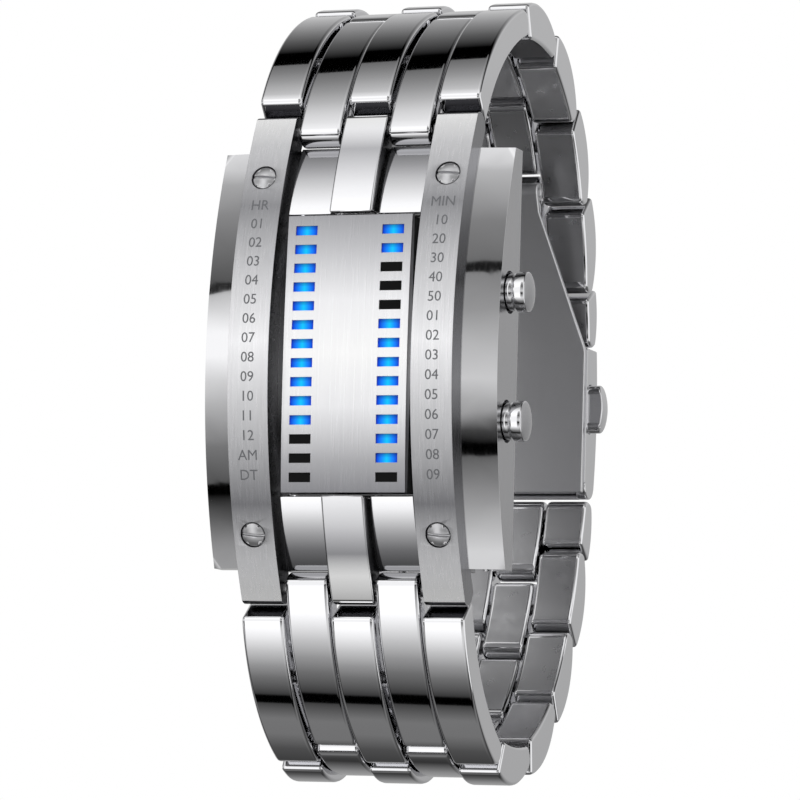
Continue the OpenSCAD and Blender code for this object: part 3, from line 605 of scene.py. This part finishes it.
# The three strips are alike above, behind and under the watch, but for their first edge, and
# differ in front of it.
above = [
    (46, 1.25), (54, 1.1), (60, 0.98), (66, 0.78), (72, 0.55), (78, 0.38),
    (84, 0.26), (90, 0.17), (90.2, 0.0),
]
over = [(100, 0.0), (104, 0.04), (112, 0.12), (122, 0.25), (134, 0.42), (150, 0.6), (170, 0.5)]
behind = [(190, 0.4), (210, 0.3), (233, 0.04), (250, 0.09), (262, 0.2), (273, 0.21), (283, 0.06)]
under = [(283.5, 0.0), (288, 0.0), (289, 0.05), (299, 0.19), (306, 0.36), (314, 0.66)]
shared = [*over, *behind, *under]
middle_front = [
    (320, 0.95), (326, 1.25), (340, 1.3), (356, 1.1), (376, 1.1), (390, 1.3), (406, 1.2),
]
left_front = [
    (316, 0.42), (322, 0.3), (328, 0.12), (334, 0.0), (336.8, 0.0), (337.2, 0.11), (346, 0.22),
    (356, 0.55), (362, 0.78), (368, 1.15), (374, 1.15), (380, 0.8), (384, 0.6), (384.3, 0.02),
    (386, 0.02), (386.5, 0.11), (396, 0.2), (404, 0.3), (412, 0.48),
]
right_front = [
    (323, 0.8), (334, 0.38), (344, 0.14), (344.4, 0.0), (347, 0.0), (350, 0.06), (354, 0.41),
    (361, 0.72), (368, 0.58), (376, 0.37), (383.9, 0.27), (384.2, 0.01), (386.4, 0.01),
    (386.8, 0.18), (396, 0.26), (408, 0.58),
]
left_x, right_x = -0.45, -0.13
ring_strip("middle_screen", left_x, right_x, [*above, *shared, *middle_front])
ring_strip("left_screen", -3.0, left_x, [(52, 0.5), *above[2:], *shared, *left_front])
ring_strip("right_screen", right_x, 1.3, [(48, 0.6), *above[1:], *shared, *right_front])

# The floor is matt white paper just below the bracelet, clear from underneath.
floor_half_w = 3
floor_gap = 0.02 * MM
floor_z = cad_box[0].z - floor_gap
floor_corners = [
    (x * floor_half_w, y * floor_half_w, floor_z) for x, y in ((-1, -1), (1, -1), (1, 1), (-1, 1))
]
floor_mesh = bpy.data.meshes.new("floor")
floor_mesh.from_pydata(floor_corners, [], [(0, 1, 2, 3)])
floor = new_object("floor", floor_mesh)
floor_paper, paper_shader = new_material(
    "matt_floor_paper", Base_Color=linear("#ececec"), Roughness=0.9
)
clear = add(floor_paper, "ShaderNodeBsdfTransparent")
from_below = add(floor_paper, "ShaderNodeNewGeometry").outputs["Backfacing"]
one_sided = add(
    floor_paper,
    "ShaderNodeMixShader",
    links={"Fac": from_below, 1: paper_shader.outputs[0], 2: clear.outputs[0]},
)
paper_out = floor_paper.node_tree.nodes["Material Output"]
join(floor_paper, one_sided.outputs[0], paper_out, "Surface")
floor_mesh.materials.append(floor_paper)
floor.visible_glossy = False

for name, place, size, power in (
    ("key_lamp", (-0.5, -0.8, 0.7), 0.6, 9.0),
    ("fill_lamp", (0.8, -0.5, 0.3), 0.6, 5.0),
):
    lamp = new_object(name, bpy.data.lights.new(name, "AREA"))
    lamp.data.size = size
    lamp.data.energy = power
    lamp.location = place
    lamp.rotation_euler = (-Vector(place)).to_track_quat("-Z", "Y").to_euler()
    lamp.visible_glossy = False

# The surround is white where the camera or a mirror sees it, and a little dimmer as light.
surround_light = 0.7
world = bpy.data.worlds.new("white_surround")
bpy.context.scene.world = world
world.use_nodes = True
path = add(world, "ShaderNodeLightPath").outputs
seen = add(
    world,
    "ShaderNodeMath",
    {"operation": "MAXIMUM"},
    {0: path["Is Camera Ray"], 1: path["Is Glossy Ray"]},
)
seen_through = add(
    world,
    "ShaderNodeMath",
    {"operation": "MAXIMUM"},
    {0: seen.outputs[0], 1: path["Is Transmission Ray"]},
)
surround_level = add(
    world,
    "ShaderNodeMapRange",
    {"To Min": surround_light, "To Max": 1.0},
    {"Value": seen_through.outputs[0]},
)
surround = world.node_tree.nodes["Background"]
surround.inputs["Color"].default_value = linear("#ffffff")
join(world, surround_level.outputs["Result"], surround, "Strength")

bpy.context.scene.view_settings.view_transform = "Standard"
